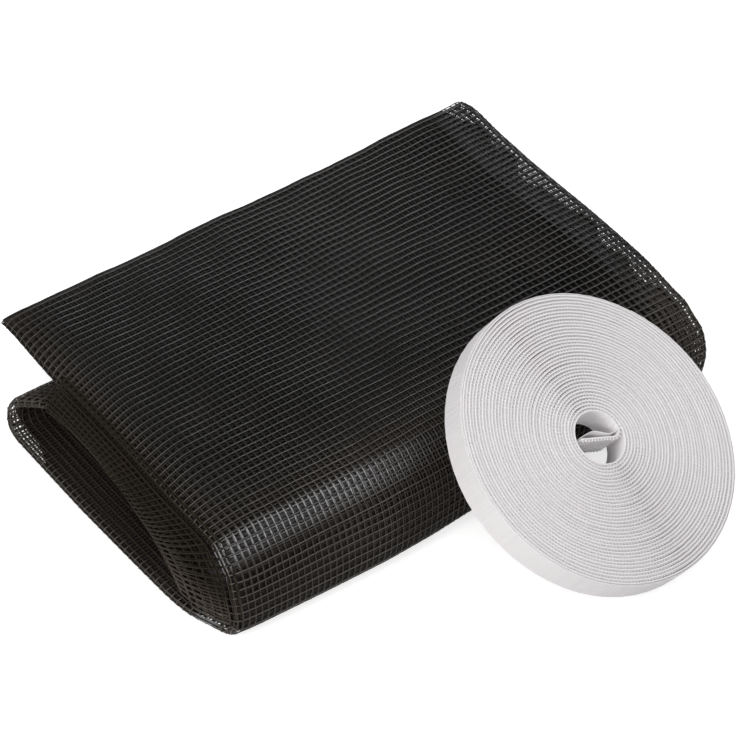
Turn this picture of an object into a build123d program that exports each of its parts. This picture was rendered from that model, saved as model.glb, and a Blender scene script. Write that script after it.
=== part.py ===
from build123d import *
from math import cos, radians, sin
import os

# A window insect screen of woven mesh, folded into a flat bundle, with its roll of hook tape
# leaning on the front fold. Millimetres, X along the bundle, Y to its back edge, Z up.

# Driving dimensions of the folded screen
SCREEN_LENGTH = 153.0
PLY_COUNT = 10
PLY_THICKNESS = 0.32
STRIP = PLY_COUNT * PLY_THICKNESS
STRAND_PITCH_Y = 2.25
STRAND_PITCH_X = 1.9

# The top, from its back edge to the front fold
TOP_BACK_Y = 113.0
TOP_BACK_HEIGHT = 21.9
DOME_LENGTH = 100.5
DOME_RISE = 9.0
DOME_TURN = 14.0
SHOULDER_RADIUS = 8.0
SHOULDER_TURN = 68.0
CORNER_RADIUS = 3.4

# The lower tube: its back curl and the ceiling that slopes down to the front
BACK_CURL_Y = 90.0
CURL_RADIUS = 5.0
CURL_TURN = 150.0
CEILING_BOW = 50.0
CEILING_TURN = 52.0
CEILING_TOE = 5.2

# The plies stacked between the top and the ceiling
STACK_GAP = 0.4
STACK_BACK_Y = 84.0
STACK_JOIN = 5.0
TOE_INSET = 1.0

# The bundle's ends
LEFT_STAGGER = 9.0
LEFT_LEAN = ((0.0, 0.0), (1.6, 9.0), (6.2, 18.0), (10.4, 23.5), (15.0, 27.5))
LEFT_CORNER = 25.0
RIGHT_CORNER = 11.0
BACK_CORNER = 4.0
STOCK_OVER = 14.0
TRIM_HEIGHT = 34.0
TRIM_OVER = 0.5

# Strand ridges, slits between plies and open cells
RIDGE_HEIGHT = 0.25
RIDGE_FOOT = 0.64
RIDGE_CREST = 0.26
RIDGE_MARGIN = 1.5
SLIT = 0.3
SLIT_DEPTH = 4.0
SLIT_INSET = 2.0
WRAP_SLITS = (-0.55, 0.45)
STACK_SLITS = (3.4, 5.2)
STACK_SLIT_BACK_Y = 78.0
GAP_COLUMNS = 2
GAP_ROWS = 25
GAP_FIRST_ROW = 2
GAP_FROM_END = 5.4
GAP_BAR = 0.35
TUCKED_SETBACK = 9.0

# Driving dimensions of the hook tape
TAPE_WIDTH = 9.0
TAPE_THICKNESS = 0.66
ROLL_RADIUS = 40.0
HOLE_RADIUS = 7.2
TURNS = 36.1
FACETS_PER_TURN = 21
TAIL_START_ANGLE = -15.0
TAIL_BEND_RADIUS = 2.4
TAIL_BEND_ANGLE = 112.0
TAIL_LENGTH = 10.8
TAIL_STEPS = 7

# Where the roll leans: its axis as a compass angle and a rise, and its near face's middle
AXIS_COMPASS = -67.5
AXIS_RISE = 57.4
ROLL_X = 98.9
ROLL_Y = -17.15

HALF = STRIP / 2
VALLEY = HALF - RIDGE_HEIGHT


class FoldPath:
    """A chain of lines and tangent arcs in the Y-Z plane, measured by its length."""

    def __init__(self, start, heading):
        self.pieces = []
        self.end = start
        self.heading = heading
        self.length = 0.0

    def add(self, length, turn=0.0):
        piece = (self.length, length, self.end, self.heading, turn)
        self.pieces.append(piece)
        self.length += length
        self.end = self.place(self.length)[:2]
        self.heading += turn

    def arc(self, radius, turn):
        self.add(radius * radians(abs(turn)), turn)

    def place(self, s):
        """Gives y, z and the heading in degrees at the length s."""
        piece = self.pieces[0]
        for candidate in self.pieces:
            if candidate[0] <= s + 1e-9:
                piece = candidate
        start, length, (y, z), heading, turn = piece
        run = s - start
        if abs(turn) < 1e-9:
            return y + run * cos(radians(heading)), z + run * sin(radians(heading)), heading
        radius = length / radians(turn)
        now = heading + turn * run / length
        y += radius * (sin(radians(now)) - sin(radians(heading)))
        z -= radius * (cos(radians(now)) - cos(radians(heading)))
        return y, z, now

    def beside(self, s, offset):
        """Gives the point that lies offset to the right of the path at s."""
        y, z, heading = self.place(s)
        return y + offset * sin(radians(heading)), z - offset * cos(radians(heading))

    def at_y(self, y, first, last):
        """Gives the length, between two lengths, where the path passes a y."""
        rising = self.place(last)[0] > self.place(first)[0]
        for _ in range(60):
            half = (first + last) / 2
            if (self.place(half)[0] > y) == rising:
                last = half
            else:
                first = half
        return first

    def edges(self, first, last, offset):
        """Gives the edges that run beside the path between two lengths."""
        made = []
        for start, length, _, _, turn in self.pieces:
            low = max(first, start)
            high = min(last, start + length)
            if high - low < 1e-6:
                continue
            a = self.beside(low, offset)
            b = self.beside(high - 1e-9, offset)
            if abs(turn) < 1e-9:
                made.append(Line(a, b))
            else:
                made.append(ThreePointArc(a, self.beside((low + high) / 2, offset), b))
        return made

    def ridged(self, stations):
        """Gives the points of strand ridges that stand on the path's right side."""
        points = []
        for s in stations:
            points.append(self.beside(s - RIDGE_FOOT / 2, VALLEY))
            points.append(self.beside(s - RIDGE_CREST / 2, HALF))
            points.append(self.beside(s + RIDGE_CREST / 2, HALF))
            points.append(self.beside(s + RIDGE_FOOT / 2, VALLEY))
        return points


def joined(one_side, other_side):
    """Gives the face between two chains of edges that run the same way."""
    caps = [
        Line(one_side[0] @ 0, other_side[0] @ 0),
        Line(one_side[-1] @ 1, other_side[-1] @ 1),
    ]
    return make_face(one_side + other_side + caps)


def band(path, first, last, right, left):
    """Gives the face between two offsets of a path."""
    return joined(path.edges(first, last, right), path.edges(first, last, left))


def ridge_stations(first, last):
    """Gives the lengths where strands cross the path."""
    count = int((last - first) / STRAND_PITCH_Y)
    margin = (last - first - (count - 1) * STRAND_PITCH_Y) / 2
    return [first + margin + i * STRAND_PITCH_Y for i in range(count)]


def along_x(face, start, end):
    """Extrudes a Y-Z face along X between two places."""
    return Pos(start, 0, 0) * extrude(Plane.YZ * face, amount=end - start)


# The fold path, from the top's back edge round the front, under, round the back and inside
path = FoldPath((TOP_BACK_Y, TOP_BACK_HEIGHT), 180.0 - DOME_RISE)
path.add(DOME_LENGTH, DOME_TURN)
path.arc(SHOULDER_RADIUS, SHOULDER_TURN)
corner_turn = 360.0 - path.heading
corner_drop = CORNER_RADIUS * (1 - cos(radians(corner_turn)))
wall_drop = path.end[1] - HALF - corner_drop
path.add(wall_drop / -sin(radians(path.heading)))
corner_start = path.length
path.arc(CORNER_RADIUS, corner_turn)
bottom_start = path.length
bottom_start_y = path.end[0]
path.add(BACK_CURL_Y - bottom_start_y)
bottom_end = path.length
path.arc(CURL_RADIUS, CURL_TURN)
curl_end = path.length
path.add(CEILING_BOW, CEILING_TURN)
path.add((path.end[1] - CEILING_TOE) / -sin(radians(path.heading)))

# The wrap that goes round the outside, with a strand ridge at each pitch of the mesh
front_ridges = ridge_stations(RIDGE_MARGIN, corner_start)
curl_ridges = ridge_stations(bottom_end + RIDGE_MARGIN, curl_end - RIDGE_MARGIN)
front_points = [path.beside(0.0, VALLEY)] + path.ridged(front_ridges) + [path.beside(corner_start, HALF)]
curl_points = [path.beside(bottom_end, HALF)] + path.ridged(curl_ridges) + [path.beside(curl_end, VALLEY)]
outer_side = [Polyline(front_points)] + path.edges(corner_start, bottom_end, HALF) + [Polyline(curl_points)]
wrap_face = joined(outer_side, path.edges(0.0, curl_end, -HALF))
left_stock = -STOCK_OVER
right_stock = SCREEN_LENGTH + STOCK_OVER
screen = along_x(wrap_face, left_stock, right_stock)

# The lower tube's ceiling, and the plies stacked between it and the top, set back at the right
tucked_end = SCREEN_LENGTH - TUCKED_SETBACK
ceiling_face = band(path, curl_end, path.length, HALF, -HALF)
screen += along_x(ceiling_face, left_stock, tucked_end)
stack_level = HALF + STACK_GAP
top_from = path.at_y(STACK_BACK_Y, 0.0, DOME_LENGTH)
ceiling_from = path.at_y(STACK_BACK_Y, curl_end, path.length)
toe_y = path.end[0] - TOE_INSET
toe_at = path.at_y(toe_y, bottom_start, bottom_end)
stack_top = path.edges(top_from, toe_at, -stack_level)
stack_under = path.edges(ceiling_from, path.length - STACK_JOIN, stack_level)
toe = [
    Line(stack_under[-1] @ 1, path.beside(path.length - STACK_JOIN, HALF - 0.2)),
    Line(path.beside(path.length - STACK_JOIN, HALF - 0.2), path.beside(path.length, HALF - 0.2)),
    Line(path.beside(path.length, HALF - 0.2), stack_top[-1] @ 1),
    Line(stack_top[0] @ 0, stack_under[0] @ 0),
]
stack_face = make_face(stack_top + stack_under + toe)
screen += along_x(stack_face, left_stock, tucked_end)

# The bundle's outline from above, and its left end, which leans and rounds off at the top
plan_corners = [
    (SCREEN_LENGTH, TOP_BACK_Y + TRIM_OVER),
    (SCREEN_LENGTH, -TRIM_OVER),
    (-LEFT_STAGGER, -TRIM_OVER),
    (-LEFT_STAGGER, TOP_BACK_Y + TRIM_OVER),
]
plan = make_face(Polyline(plan_corners, close=True))
plan = fillet(plan.vertices().sort_by(Axis.Y)[-2:], BACK_CORNER)
front_right = plan.vertices().sort_by(Axis.Y)[:2].sort_by(Axis.X)[-1]
plan = fillet(front_right, RIGHT_CORNER)
front_left = plan.vertices().sort_by(Axis.Y)[:2].sort_by(Axis.X)[0]
plan = fillet(front_left, LEFT_CORNER)
trim = extrude(plan, amount=TRIM_HEIGHT)
lean_corners = [(-STOCK_OVER, 0)]
for inward, height in LEFT_LEAN:
    lean_corners.append((inward - LEFT_STAGGER, height))
lean_corners.append((lean_corners[-1][0] + STOCK_OVER, TRIM_HEIGHT))
lean_corners.append((-STOCK_OVER, TRIM_HEIGHT))
lean_face = Plane.XZ * make_face(Polyline(lean_corners, close=True))
trim -= Pos(0, -STOCK_OVER, 0) * extrude(lean_face, amount=-TOP_BACK_Y - 2 * STOCK_OVER)
screen = screen & trim

# Folded plies seen as slits along the left end
slit_faces = []
for level in WRAP_SLITS:
    slit_faces.append(band(path, SLIT_INSET, path.length - SLIT_INSET, level + SLIT / 2, level - SLIT / 2))
stack_slit_from = path.at_y(STACK_SLIT_BACK_Y, 0.0, DOME_LENGTH)
for level in STACK_SLITS:
    slit_faces.append(band(path, stack_slit_from, corner_start, -level + SLIT / 2, -level - SLIT / 2))
for slit_face in slit_faces:
    screen -= along_x(slit_face, left_stock, SLIT_DEPTH)

# Open cells of the mesh along the top's right edge, where one wall lets the light through
cells = []
for row in range(GAP_FIRST_ROW, GAP_FIRST_ROW + GAP_ROWS):
    s = (front_ridges[row] + front_ridges[row + 1]) / 2
    y, z, heading = path.place(s)
    for column in range(GAP_COLUMNS):
        x = SCREEN_LENGTH - GAP_FROM_END + column * STRAND_PITCH_X
        cell = Box(STRAND_PITCH_X - GAP_BAR, STRAND_PITCH_Y - RIDGE_FOOT - GAP_BAR, STRIP + 0.3)
        cells.append(Pos(x, y, z) * Rot(heading - 180.0, 0, 0) * cell)
screen -= cells


def spiral_point(turn, offset):
    """Gives a point of the wound tape, turn counted from the inner end."""
    angle = radians(TAIL_START_ANGLE + 360.0 * turn)
    radius = HOLE_RADIUS + TAPE_THICKNESS / 2 + TURN_PITCH * turn + offset
    return radius * cos(angle), radius * sin(angle)


def tail_points(offset):
    """Gives one side of the tape's inner end, which bends in and crosses the hole."""
    heading = TAIL_START_ANGLE - 90.0
    x, y = spiral_point(0.0, 0.0)
    middle_x = x + TAIL_BEND_RADIUS * sin(radians(heading))
    middle_y = y - TAIL_BEND_RADIUS * cos(radians(heading))
    radius = TAIL_BEND_RADIUS + offset
    points = []
    for step in range(1, TAIL_STEPS + 1):
        now = radians(heading - TAIL_BEND_ANGLE * step / TAIL_STEPS)
        points.append((middle_x - radius * sin(now), middle_y + radius * cos(now)))
    last = radians(heading - TAIL_BEND_ANGLE)
    x, y = points[-1]
    points.append((x + TAIL_LENGTH * cos(last), y + TAIL_LENGTH * sin(last)))
    return points


# The wound tape as one strip: its inner end, its facetted turns and a round last turn
TURN_PITCH = (ROLL_RADIUS - HOLE_RADIUS - TAPE_THICKNESS) / TURNS
step_count = int(TURNS * FACETS_PER_TURN)
steps = [i / FACETS_PER_TURN for i in range(step_count + 1)]
half_tape = TAPE_THICKNESS / 2
round_start = steps[-1] - 1.0
far_points = [spiral_point(turn, half_tape) for turn in steps if turn <= round_start + 1e-9]
near_points = [spiral_point(turn, -half_tape) for turn in steps]
far_line = Polyline(tail_points(half_tape)[::-1] + far_points)
near_line = Polyline(tail_points(-half_tape)[::-1] + near_points)
last_turn = []
for quarter in range(4):
    start = round_start + quarter / 4
    arc_points = [spiral_point(start + part / 8, half_tape) for part in range(3)]
    last_turn.append(ThreePointArc(*arc_points))
tape_face = joined([far_line] + last_turn, [near_line])
tape = extrude(tape_face, amount=-TAPE_WIDTH)

# The roll is stood on the floor with its upper rim against the screen's front fold
compass = radians(AXIS_COMPASS)
rise = radians(AXIS_RISE)
axis = (cos(rise) * cos(compass), cos(rise) * sin(compass), sin(rise))
level_direction = (-sin(compass), cos(compass), 0)
roll = Plane(origin=(ROLL_X, ROLL_Y, 0), x_dir=level_direction, z_dir=axis).location * tape
roll = Pos(0, 0, -roll.bounding_box().min.Z) * roll

# The frame's origin is the middle of the face that the screen rests on
middle = Pos(-(SCREEN_LENGTH - LEFT_STAGGER) / 2, -(bottom_start_y + BACK_CURL_Y) / 2, 0)
os.makedirs("parts", exist_ok=True)
export_step(middle * screen, "parts/folded_screen.step")
export_step(middle * roll, "parts/hook_tape_roll.step")
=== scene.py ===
import math

import bpy
import numpy as np
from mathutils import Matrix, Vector


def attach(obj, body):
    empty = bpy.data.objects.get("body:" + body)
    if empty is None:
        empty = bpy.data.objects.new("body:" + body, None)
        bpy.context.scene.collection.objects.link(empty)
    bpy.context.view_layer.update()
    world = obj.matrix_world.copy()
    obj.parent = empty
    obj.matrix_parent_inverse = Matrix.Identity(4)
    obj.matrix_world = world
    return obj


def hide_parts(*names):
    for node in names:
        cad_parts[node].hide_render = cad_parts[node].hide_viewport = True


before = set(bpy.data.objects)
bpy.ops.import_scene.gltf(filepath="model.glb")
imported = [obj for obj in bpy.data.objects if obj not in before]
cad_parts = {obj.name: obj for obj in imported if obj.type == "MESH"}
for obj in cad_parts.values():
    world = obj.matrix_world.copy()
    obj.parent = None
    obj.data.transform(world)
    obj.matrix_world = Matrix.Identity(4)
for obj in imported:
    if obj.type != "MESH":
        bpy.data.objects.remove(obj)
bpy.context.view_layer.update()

MM = 0.001

# Sheet sizes in millimetres, as in the part's source
SCREEN_LENGTH = 153.0
STRIP = 3.2
HALF = STRIP / 2
STRAND_PITCH_X = 1.9
STRAND_PITCH_Y = 2.25
TOP_BACK_Y = 113.0
TOP_BACK_HEIGHT = 21.9
DOME_LENGTH = 100.5
DOME_RISE = 9.0
DOME_TURN = 14.0
SHOULDER_TURN = 68.0
CORNER_RADIUS = 3.4
BACK_CURL_Y = 90.0
CURL_RADIUS = 5.0
CURL_TURN = 150.0
CEILING_BOW = 50.0
CEILING_TURN = 52.0
CEILING_TOE = 5.2
STACK_BACK_Y = 84.0
TUCKED_SETBACK = 9.0

# The front shoulder, which has a flat strip between two bends
SHOULDER_RADIUS = 3.2
SHOULDER_FIRST_TURN = 40.0
SHOULDER_FLAT = 6.5

# Tape sizes in millimetres. The roll's radius, hole and inner end differ from the part's source
TAPE_WIDTH = 9.0
TAPE_THICKNESS = 0.66
ROLL_RADIUS = 40.6
HOLE_RADIUS = 6.8
TURNS = 36.1
TAIL_START_ANGLE = -15.0
TAIL_BEND_RADIUS = 2.3
TAIL_BEND_ANGLE = 112.0
TAIL_LENGTH = 10.1
AXIS_COMPASS = -67.5
AXIS_RISE = 57.4
ROLL_X = 98.9
ROLL_Y = -17.15

# How far the roll stands from its solid, in millimetres
ROLL_NUDGE = (0.56, -0.13, 0.0)

# Strands
SKIN = HALF - 0.3
STRAND_HALF_WIDTH = 0.23
STRAND_HALF_HEIGHT = 0.17
ROW_LIFT = 0.07
ROW_WAVE = 0.02
COLUMN_DROP = 0.06
COLUMN_WAVE = 0.06
COLUMNS = 80
NOSE = 1.8
SECOND_PLY_DEPTH = 0.55
SECOND_PLY_SKEW = 0.011
SECOND_PLY_START = 1.0
SECOND_PLY_MARGIN = 1.2
SECOND_PLY_MIDDLE = 75.0
SKIN_START = 0.1
NOTCH_SETBACK = 2.0
BEND_LIMIT = 8.0
BACK_ROUNDING = 0.98

# Plies inside the skin
INNER_PLIES = 8
STACK_PLIES = 26

# Hooks on the tape, which stand on its outer side
BACKING_OUTER = 0.08
FIELD_OUTER = 0.42
HOOK_PITCH = 0.95
HOOK_TIP = 0.44
HOOK_DEPTH = 0.4
HOOK_SETBACK = 0.30
FIELD_SETBACK = 0.70
COVER_INNER = 0.30
COVER_OUTER = 0.47
COVER_SETBACK = 0.12
RIB_TIP = 0.58
TAIL_RIB_TIP = 0.66
STEPS_PER_TURN = 60
END_TAPER = 26.0
LINER_HALF = 0.07
LINER_SETBACK = 0.05
LINER_EDGE = 0.02
BACKING_EDGE = 0.06
FIELD_SINK = 0.04
FIELD_EDGE = 0.05
COVER_EDGE = 0.05
THINNEST = 0.03
FIRST_HOOK = 0.4
HOOK_BASE_WIDTH = 0.34
HOOK_TIP_WIDTH = 0.54
RIB_MARGIN = 0.45
RIB_SINK = 0.05
TAIL_RIB_SETBACK = 0.2
TAIL_RIB_PAST = 3.0


class FoldPath:
    """The bundle's middle line seen from its left end, as runs and arcs."""

    def __init__(self, start, heading):
        self.pieces = []
        self.length = 0.0
        self.end = start
        self.heading = heading

    def add(self, length, turn=0.0):
        self.pieces.append((self.length, length, self.end, self.heading, turn))
        self.length += length
        y, z, _ = self.place(np.array([self.length]))
        self.end = (float(y[0]), float(z[0]))
        self.heading += turn

    def arc(self, radius, turn):
        self.add(radius * math.radians(turn), turn)

    def place(self, s):
        """Gives y, z and the heading in radians at the lengths s."""
        s = np.asarray(s, dtype=float)
        y = np.zeros_like(s)
        z = np.zeros_like(s)
        heading = np.zeros_like(s)
        for start, length, (first_y, first_z), first_heading, turn in self.pieces:
            inside = s >= start - 1e-9
            run = s[inside] - start
            first = math.radians(first_heading)
            if turn == 0.0:
                y[inside] = first_y + run * math.cos(first)
                z[inside] = first_z + run * math.sin(first)
                heading[inside] = first
                continue
            radius = length / math.radians(turn)
            now = first + run / radius
            y[inside] = first_y + radius * (np.sin(now) - math.sin(first))
            z[inside] = first_z - radius * (np.cos(now) - math.cos(first))
            heading[inside] = now
        return y, z, heading

    def at_y(self, y, first, last):
        """Gives the length, between two lengths, where the path passes a y."""
        lengths = np.linspace(first, last, 4001)
        passed, _, _ = self.place(lengths)
        return float(lengths[np.argmin(np.abs(passed - y))])


path = FoldPath((TOP_BACK_Y, TOP_BACK_HEIGHT), 180.0 - DOME_RISE)
path.add(DOME_LENGTH, DOME_TURN)
path.arc(SHOULDER_RADIUS, SHOULDER_FIRST_TURN)
crease_start_y = path.end[0]
path.add(SHOULDER_FLAT)
crease_end_y = path.end[0]
path.arc(SHOULDER_RADIUS, SHOULDER_TURN - SHOULDER_FIRST_TURN)
shoulder_end = path.length
corner_turn = 360.0 - path.heading
corner_drop = CORNER_RADIUS * (1 - math.cos(math.radians(corner_turn)))
wall_drop = path.end[1] - HALF - corner_drop
path.add(wall_drop / -math.sin(math.radians(path.heading)))
corner_start = path.length
path.arc(CORNER_RADIUS, corner_turn)
bottom_start = path.length
bottom_start_y = path.end[0]
path.add(BACK_CURL_Y - bottom_start_y)
bottom_end = path.length
path.arc(CURL_RADIUS, CURL_TURN)
curl_end = path.length
path.add(CEILING_BOW, CEILING_TURN)
ceiling_heading = math.radians(path.heading)
path.add((path.end[1] - CEILING_TOE) / -math.sin(ceiling_heading))

# From the source's corner to the middle of the face that the screen rests on
TO_FRAME = np.array([-72.0, -47.449, 0.0])

# Where the two rims of the sheet run, by length along the path
LEFT_RIM = (
    (0.0, -0.6),
    (6.0, -0.2),
    (60.0, 0.3),
    (DOME_LENGTH, 0.6),
    (shoulder_end, 0.2),
    (corner_start, -0.4),
    (bottom_start, -3.0),
    (bottom_start + 9.0, -6.6),
    (bottom_start + 16.0, -7.7),
    (bottom_start + 30.0, -8.6),
    (bottom_start + 55.0, -10.0),
    (bottom_end + 6.0, -11.0),
    (curl_end, -8.6),
    (curl_end + 10.0, -3.9),
    (path.length, -3.5),
)
RIGHT_RIM = (
    (0.0, 150.6),
    (1.5, 152.2),
    (7.0, 152.7),
    (20.0, 151.4),
    (34.0, 150.6),
    (50.0, 151.0),
    (68.0, 151.6),
    (84.0, 152.0),
    (97.0, 151.7),
    (104.0, 152.0),
    (110.0, 152.9),
    (115.0, 153.3),
    (119.5, 152.4),
    (corner_start, 148.6),
    (bottom_start, 146.0),
    (bottom_start + 20.0, 150.0),
    (bottom_end, 152.0),
    (curl_end, 151.0),
    (path.length, 144.0),
)
FRONT_BOW = (
    (-3.0, 0.0),
    (5.0, 0.9),
    (25.0, 1.7),
    (45.0, 2.2),
    (60.0, 1.7),
    (72.0, 0.7),
    (84.0, 0.0),
)
FRONT_BOW_FADE = (
    (DOME_LENGTH - 14.0, 0.0),
    (shoulder_end, 0.8),
    (corner_start, 1.0),
    (bottom_start, 1.0),
    (bottom_start + 30.0, 0.0),
)
CURL_LIFT = (
    (bottom_end + 4.0, 0.0),
    (curl_end - 3.0, 1.1),
    (curl_end + 12.0, 0.9),
    (curl_end + 26.0, 0.0),
)
CURL_LIFT_WIDTH = 45.0
LEFT_DROOP = (
    (0.0, 0.5),
    (12.0, 3.0),
    (25.0, 4.5),
    (80.0, 4.0),
    (DOME_LENGTH, 2.0),
    (shoulder_end, 0.5),
    (corner_start, 0.0),
)
RIGHT_DROOP = (
    (0.0, 0.0),
    (60.0, 0.8),
    (DOME_LENGTH, 0.8),
    (shoulder_end, 0.3),
    (corner_start, 0.0),
)
BACK_LIFT = 1.6
BACK_LIFT_FROM = 95.0
BACK_LIFT_RUN = 34.0
LEFT_DROOP_WIDTH = 12.0
RIGHT_DROOP_WIDTH = 9.0
CORNER_EASE = 2.5
DROOP_MOST = 1.2
CORNER_FADE = 10.0

# Waves of the top: height, turn by x, turn by length, and first turn
TOP_WAVES = (
    (0.22, 0.11, 0.06, 0.4),
    (0.16, 0.19, -0.13, 2.1),
    (0.08, 0.47, 0.21, 0.0),
)


def read_off(pairs, s):
    """Gives the value at s on a line through pairs of length and value, with its corners eased."""
    lengths, values = zip(*pairs)
    before = np.interp(s - CORNER_EASE, lengths, values)
    after = np.interp(s + CORNER_EASE, lengths, values)
    return (before + 2 * np.interp(s, lengths, values) + after) / 4


def waves(run, rows, first=0.0):
    """Gives a first value plus waves along a line, each with a height, a length and a first turn."""
    total = first
    for height, length, start in rows:
        total = total + height * np.sin(run / length + start)
    return total


def droop(s, x):
    """Gives how far the sheet sinks near its two rims."""
    from_left = np.clip(1 - (x - read_off(LEFT_RIM, s)) / LEFT_DROOP_WIDTH, 0, DROOP_MOST)
    from_right = np.clip(1 - (read_off(RIGHT_RIM, s) - x) / RIGHT_DROOP_WIDTH, 0, DROOP_MOST)
    return read_off(LEFT_DROOP, s) * from_left ** 2 + read_off(RIGHT_DROOP, s) * from_right ** 2


def ripple(s, x):
    """Gives the small waves of the top and the front fold, and the lifts of two corners."""
    on_top = np.clip((corner_start - s) / CORNER_FADE, 0, 1)
    wave = np.zeros_like(x)
    for height, by_x, by_s, start in TOP_WAVES:
        wave = wave + height * np.sin(by_x * x + by_s * s + start)
    corner = np.clip((x - BACK_LIFT_FROM) / (SCREEN_LENGTH - BACK_LIFT_FROM), 0, 1) ** 2
    corner = BACK_LIFT * corner * np.clip(1 - s / BACK_LIFT_RUN, 0, 1) ** 2
    curl = read_off(CURL_LIFT, s) * np.clip(1 - x / CURL_LIFT_WIDTH, 0, 1)
    return on_top * wave + corner + curl


def bent(s, x, offset):
    """Gives points of the folded sheet, offset outward from the path."""
    y, z, heading = path.place(s)
    lift = offset - droop(s, x) + ripple(s, x)
    y = y - read_off(FRONT_BOW, x) * read_off(FRONT_BOW_FADE, s)
    return np.stack([x, y + lift * np.sin(heading), z - lift * np.cos(heading)], axis=-1)


def unit(vectors):
    lengths = np.linalg.norm(vectors, axis=-1, keepdims=True)
    return vectors / np.maximum(lengths, 1e-9)


def along(points, axis, closed):
    """Gives the direction of a grid of points along one of its axes."""
    if closed:
        return unit(np.roll(points, -1, axis=axis) - np.roll(points, 1, axis=axis))
    return unit(np.gradient(points, axis=axis))


def tubes(points, normals, closed):
    """Gives the vertices and quads of strands that follow rows of points."""
    count, steps = points.shape[:2]
    forward = along(points, 1, closed)
    across = unit(np.cross(forward, normals))
    up = np.cross(across, forward)
    wide = across * STRAND_HALF_WIDTH
    high = up * STRAND_HALF_HEIGHT
    corners = np.stack([points + wide, points + high, points - wide, points - high], axis=2)
    index = np.arange(count * steps * 4).reshape(count, steps, 4)
    here = index if closed else index[:, :-1]
    ahead = np.roll(index, -1, axis=1) if closed else index[:, 1:]
    quads = np.stack([here, ahead, np.roll(ahead, -1, axis=2), np.roll(here, -1, axis=2)], axis=-1)
    quads = quads.reshape(-1, 4)
    if not closed:
        quads = np.concatenate([quads, index[:, 0, :], index[:, -1, ::-1]])
    return corners.reshape(-1, 3), quads


def weave(points, crossing_rows, closed):
    """Gives the strands along the rows of a grid and those along its columns."""
    rows, columns = points.shape[:2]
    normals = unit(np.cross(along(points, 0, False), along(points, 1, closed)))
    order = np.cumsum(crossing_rows)
    sign = np.where((order[:, None] + np.arange(columns)[None, :]) % 2 == 0, 1.0, -1.0)
    sign = sign * crossing_rows[:, None]
    raised = points + normals * (ROW_LIFT + sign * ROW_WAVE)[..., None]
    row_strands = tubes(raised[crossing_rows], normals[crossing_rows], closed)
    lowered = points - normals * (COLUMN_DROP + sign * COLUMN_WAVE)[..., None]
    column_strands = tubes(lowered.transpose(1, 0, 2), normals.transpose(1, 0, 2), False)
    return row_strands, column_strands


def put_together(parts):
    """Joins lists of vertices and quads into one."""
    vertices = []
    quads = []
    shift = 0
    for part_vertices, part_quads in parts:
        vertices.append(part_vertices)
        quads.append(part_quads + shift)
        shift += len(part_vertices)
    return np.concatenate(vertices), np.concatenate(quads)


def make_piece(name, vertices, quads, material, node, slot, uv=None, smooth=True):
    """Makes a piece from millimetres in the source's corner and ties it to the frame."""
    mesh = bpy.data.meshes.new(name)
    placed = (vertices + TO_FRAME) * MM
    mesh.from_pydata(placed.tolist(), [], quads.tolist())
    if smooth:
        mesh.polygons.foreach_set("use_smooth", np.ones(len(mesh.polygons), dtype=bool))
    if uv is not None:
        layer = mesh.uv_layers.new(name="UVMap")
        corners = np.empty(len(mesh.loops), dtype=np.int32)
        mesh.loops.foreach_get("vertex_index", corners)
        layer.data.foreach_set("uv", uv[corners].astype(np.float32).ravel())
    mesh.materials.append(material)
    mesh.update()
    piece = bpy.data.objects.new(name, mesh)
    bpy.context.scene.collection.objects.link(piece)
    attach(piece, "root")
    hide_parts(node)
    return piece


def grid_quads(rows, columns):
    """Gives the quads of a grid of points."""
    index = np.arange(rows * columns).reshape(rows, columns)
    corners = [index[:-1, :-1], index[:-1, 1:], index[1:, 1:], index[1:, :-1]]
    return np.stack(corners, axis=-1).reshape(-1, 4)


# Scales, places on the ramps and relief of the materials
PATCH_STOPS = (0.3, 0.7)
FIBRE_STOPS = (0.35, 0.65)
WHOLE = (0.0, 1.0)
PATCH_SCALE = 24.0
FIBRE_SCALE = 1600.0
PLY_PATCH_SCALE = 60.0
ROUGH_SPREAD = 0.05
YARN_RELIEF = (0.25, 0.0001)
PLY_RELIEF = (0.6, 0.0003)
TAPE_RELIEF = (0.2, 0.0001)
HALF_CELL = 0.5
GRID_LINE = (0.34, 0.46)
PLY_ROUGH = (0.6, 0.8)
PLY_SHINE = 0.12
TAPE_SHINE = 0.4
TAPE_LINES = (2.6, 0.05, 1.0)


def new_material(name):
    material = bpy.data.materials.new(name)
    material.use_nodes = True
    nodes = material.node_tree.nodes
    return material, nodes, material.node_tree.links, nodes["Principled BSDF"]


def noise(nodes, links, scale, detail, coordinates):
    made = nodes.new("ShaderNodeTexNoise")
    made.inputs["Scale"].default_value = scale
    made.inputs["Detail"].default_value = detail
    links.new(coordinates, made.inputs["Vector"])
    return made.outputs["Fac"]


def ramp(nodes, links, value, places, tones):
    """Gives a colour that follows a value between two places, from one tone to another."""
    made = nodes.new("ShaderNodeValToRGB")
    for element, place, colour in zip(made.color_ramp.elements, places, tones):
        element.position = place
        element.color = (*colour, 1.0)
    links.new(value, made.inputs["Fac"])
    return made.outputs["Color"]


def spread(nodes, links, value, low, high, places=PATCH_STOPS):
    """Gives a number that goes from low to high as a value goes between two places."""
    made = nodes.new("ShaderNodeMapRange")
    made.inputs["From Min"].default_value, made.inputs["From Max"].default_value = places
    made.inputs["To Min"].default_value = low
    made.inputs["To Max"].default_value = high
    links.new(value, made.inputs["Value"])
    return made.outputs["Result"]


def bump(nodes, links, height, strength, distance, shader):
    made = nodes.new("ShaderNodeBump")
    made.inputs["Strength"].default_value = strength
    made.inputs["Distance"].default_value = distance
    links.new(height, made.inputs["Height"])
    links.new(made.outputs["Normal"], shader.inputs["Normal"])


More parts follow.
